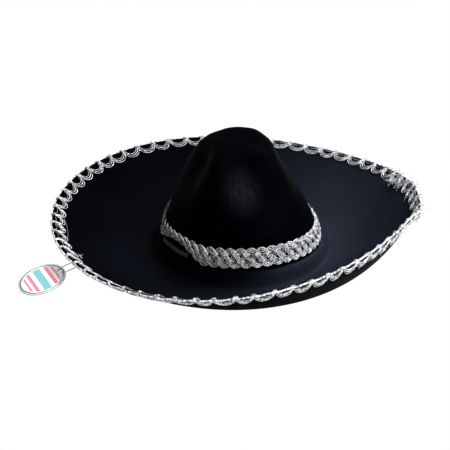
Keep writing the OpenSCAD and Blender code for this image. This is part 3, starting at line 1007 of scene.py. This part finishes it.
def running_stitches(place, count, length, radius):
    """Separate stitches round the hat: place(p, dip) gives a point, dip sinking the ends into the cloth."""
    cords = Cords()
    for k in range(count):
        a = np.linspace(-1, 1, 7)
        p = (k + length * a / 2) * 360 / count
        points = place(p, 0.45 * a ** 4)
        up = unit(place(p, 0.0) - place(p, 1.0))
        cords.rope(points, up, radius, 1.6, sides=4)
    return cords


STITCH_R, STITCH_LIFT = 0.28, 0.3


def tape_place(p, dip):
    """Along the tape, a little above its fold."""
    return wall_pt(p, 3.0, TAPE_OUT - TAPE_T - STITCH_LIFT + dip)


def seam_place(p, dip):
    """Along the flange's under face."""
    rb = oval(p, CROWN_W, CROWN_L)
    return around(p, rb + 2, flange_low(p, 2.0) - STITCH_LIFT + dip)


finish_piece(sweatband_tape(), TAPE, "hat", "tape", "sweatband")
tape_row = running_stitches(tape_place, 150, 0.72, STITCH_R)
finish_piece(tape_row.piece("sweatband_stitch_row"), THREAD, "hat", "thread", "sweatband_stitches")
seam_row = running_stitches(seam_place, 130, 0.7, STITCH_R)
finish_piece(seam_row.piece("seam_stitch_row"), THREAD, "hat", "thread", "seam_stitches")


# ---------- hang tag ----------
HOLE_X, HOLE_R = -22.0, 2.5
CARD_EDGE = 0.12


def leaf_frame(co):
    """A leaf's middle and its three directions: down the slope, across it and out of its face."""
    middle = (co.max(0) + co.min(0)) / 2
    level = np.array([0, 0, 1.0])
    radial = np.array([sin_d(TAG_P), -cos_d(TAG_P), 0.0])
    across = np.array([cos_d(TAG_P), sin_d(TAG_P), 0.0])
    flat = (co - middle) @ np.stack([radial, level], 1)
    slope = math.atan2(-np.polyfit(flat[:, 0], flat[:, 1], 1)[0], 1)
    down = radial * math.cos(slope) - level * math.sin(slope)
    normal = np.cross(across, down)
    return middle, down, across, normal * np.sign(normal[2])


def leaf_rings(radius, turns, rings):
    """Rings of a card from its string hole out to its edge and back: a plan and a side from -1 to 1."""
    a = np.linspace(0, 2 * math.pi, turns, endpoint=False)
    rim = np.stack([radius * np.cos(a), radius * np.sin(a)], -1)
    hole = np.stack([HOLE_X + HOLE_R * np.cos(a), HOLE_R * np.sin(a)], -1)
    rim_in = rim * (1 - CARD_EDGE / radius)
    hole_in = hole + (hole - [HOLE_X, 0]) * CARD_EDGE / HOLE_R
    between_rings = [hole + (rim - hole) * f ** 1.3 for f in np.linspace(0, 1, rings)[1:-1]]
    face = [(hole_in, 1.0)] + [(ring, 1.0) for ring in between_rings]
    edge = [(rim_in, 1.0), (rim, 0.45), (rim, -0.45), (rim_in, -1.0)]
    back = [(ring, -1.0) for ring in between_rings[::-1]]
    return face + edge + back + [(hole_in, -1.0), (hole, -0.45), (hole, 0.45)]


def card_leaf(name, node, flip):
    """A die-cut card leaf on the CAD leaf's own disc, with a soft cut edge and its string hole."""
    co = np.array([v.co for v in nodes[node].data.vertices]) / MM
    middle, down, across, normal = leaf_frame(co)
    local = co - middle
    radius = np.max(np.hypot(local @ down, local @ across))
    thick = np.ptp(local @ normal)
    turns = 96
    loop = leaf_rings(radius, turns, 14)
    points = [middle + ring[:, :1] * down + ring[:, 1:] * across + side * thick / 2 * normal
              for ring, side in loop]
    grid = np.stack(points, 1).reshape(-1, 3)
    plan = np.stack([ring for ring, _ in loop], 1).reshape(-1, 2)
    quads = grid_faces(turns, len(loop), True, True)
    uvs = np.stack([flip * plan[:, 1], -plan[:, 0]], 1)[quads.ravel()] * MM
    return make_piece(name, grid, quads.tolist(), uvs)


front_leaf = card_leaf("tag_card_front", "tag_front_leaf", 1)
finish_piece(front_leaf, CARD_FRONT, "tag", "card_front", "tag_front_leaf")
back_leaf = card_leaf("tag_card_back", "tag_back_leaf", -1)
finish_piece(back_leaf, CARD_SHADED_LEAF, "tag", "card_back", "tag_back_leaf")

SMALL_PARTS = (("brim_wire", WIRE), ("wire_ferrule", FERRULE), ("tag_pin", NYLON), ("tag_loop", NYLON))
for node, material in SMALL_PARTS:
    mesh = nodes[node].data
    for slot in nodes[node].material_slots:
        slot.material = material
    mesh.polygons.foreach_set("use_smooth", [True] * len(mesh.polygons))


# ---------- stage, lights and camera ----------
def mix_for_camera(tree, given_off, seen, output):
    """Shows the camera one shader while the rest of the scene gets the other."""
    path = add(tree, "ShaderNodeLightPath")
    on_camera = path.outputs["Is Camera Ray"]
    mix = add(tree, "ShaderNodeMixShader", [("Fac", on_camera), (1, given_off), (2, seen)])
    tree.links.new(mix.outputs["Shader"], tree.nodes[output].inputs["Surface"])


def floor_material():
    """A white sweep: burnt out where it is seen, softer in what it throws back on the hat."""
    mat, tree, shader = new_material("white_sweep")
    place = add(tree, "ShaderNodeTexCoord")
    soft = add(tree, "ShaderNodeTexNoise", [("Vector", place.outputs["Object"])], Scale=2.0)
    tone = ramp(tree, soft.outputs["Fac"], [(0.3, (0.8, 0.8, 0.8)), (0.7, (0.84, 0.84, 0.84))])
    tree.links.new(tone.outputs["Color"], shader.inputs["Base Color"])
    shader.inputs["Roughness"].default_value = 0.9
    shader.inputs["Emission Color"].default_value = (1, 1, 1, 1)
    shader.inputs["Emission Strength"].default_value = 0.35
    seen = add(tree, "ShaderNodeEmission", Strength=1.0)
    mix_for_camera(tree, shader.outputs["BSDF"], seen.outputs["Emission"], "Material Output")
    return mat


HAT_MIDDLE, BRIM_SIDE = (0, 0, 0.05), (0.21, -0.03, 0.02)
LAMPS = (  # name, place, aim, size, watts, spread in degrees, the pieces it lights (None for all)
    ("key", (1.1, -0.4, 1.87), HAT_MIDDLE, 0.5, 66.0, 180, None),
    ("back", (-0.4, 1.9, 1.1), HAT_MIDDLE, 1.1, 6.0, 180, None),
    ("trim_fill", (0.5, -2.0, 1.3), HAT_MIDDLE, 0.9, 30.0, 180, "trim"),
    ("trim_back", (-0.4, 1.9, 1.4), HAT_MIDDLE, 1.1, 20.0, 180, "trim"),
    ("brim_sheen", (0.42, 0.16, 0.5), BRIM_SIDE, 0.4, 4.6, 36, "brim"))


def studio_world():
    """A dim cool surround on the hat, white where the camera looks past the floor."""
    world = bpy.data.worlds.new("studio")
    bpy.context.scene.world = world
    world.use_nodes = True
    tree = world.node_tree
    dim = tree.nodes["Background"]
    dim.inputs["Color"].default_value = (0.97, 0.98, 1.0, 1)
    dim.inputs["Strength"].default_value = 0.12
    seen = add(tree, "ShaderNodeBackground", Strength=1.0)
    seen.inputs["Color"].default_value = (1, 1, 1, 1)
    mix_for_camera(tree, dim.outputs["Background"], seen.outputs["Background"], "World Output")


FLOOR_SIZE, FLOOR_DROP = 8.0, 0.0004


def lit_groups(floor):
    """The brim alone, and everything but the felt and the floor, for lamps that light only those."""
    lit = {"brim": bpy.data.collections.new("lit_brim"), "trim": bpy.data.collections.new("lit_trim")}
    lit["brim"].objects.link(brim)
    for piece in bpy.context.scene.objects:
        if piece.type == "MESH" and piece not in (brim, crown, floor):
            lit["trim"].objects.link(piece)
    return lit


def studio():
    """Floor, surround and lamps."""
    bpy.ops.mesh.primitive_plane_add(size=FLOOR_SIZE, location=(0, 0, -FLOOR_DROP))
    floor = bpy.context.object
    floor.name = "studio_floor"
    floor.data.materials.append(floor_material())
    studio_world()
    lit = lit_groups(floor)
    for name, place, aim, size, power, spread, target in LAMPS:
        data = bpy.data.lights.new(name, "AREA")
        data.size = size
        data.energy = power
        data.spread = math.radians(spread)
        lamp = bpy.data.objects.new(name, data)
        bpy.context.scene.collection.objects.link(lamp)
        lamp.location = place
        lamp.rotation_euler = (Vector(aim) - Vector(place)).to_track_quat("-Z", "Y").to_euler()
        if target:
            lamp.light_linking.receiver_collection = lit[target]


CAM_AZ, CAM_EL, CAM_DIST, CAM_LENS = -15.0, 29.0, 2.0, 138.9
CAM_AIM = Vector((0, 0, 0.008))
CAM_SHIFT = (-0.0352, 0.0219)


def camera():
    """One camera on a line through the aim, its picture shifted to sit as framed."""
    data = bpy.data.cameras.new("camera")
    data.lens = CAM_LENS
    data.sensor_width = 36
    data.shift_x, data.shift_y = CAM_SHIFT
    eye = bpy.data.objects.new("camera", data)
    bpy.context.scene.collection.objects.link(eye)
    az, el = math.radians(CAM_AZ), math.radians(CAM_EL)
    back = Vector((math.sin(az) * math.cos(el), -math.cos(az) * math.cos(el), math.sin(el)))
    eye.location = CAM_AIM + CAM_DIST * back
    eye.rotation_euler = (-back).to_track_quat("-Z", "Y").to_euler()
    bpy.context.scene.camera = eye


studio()
camera()
bpy.context.scene.view_settings.view_transform = "Standard"
bpy.context.scene.view_settings.gamma = 0.75
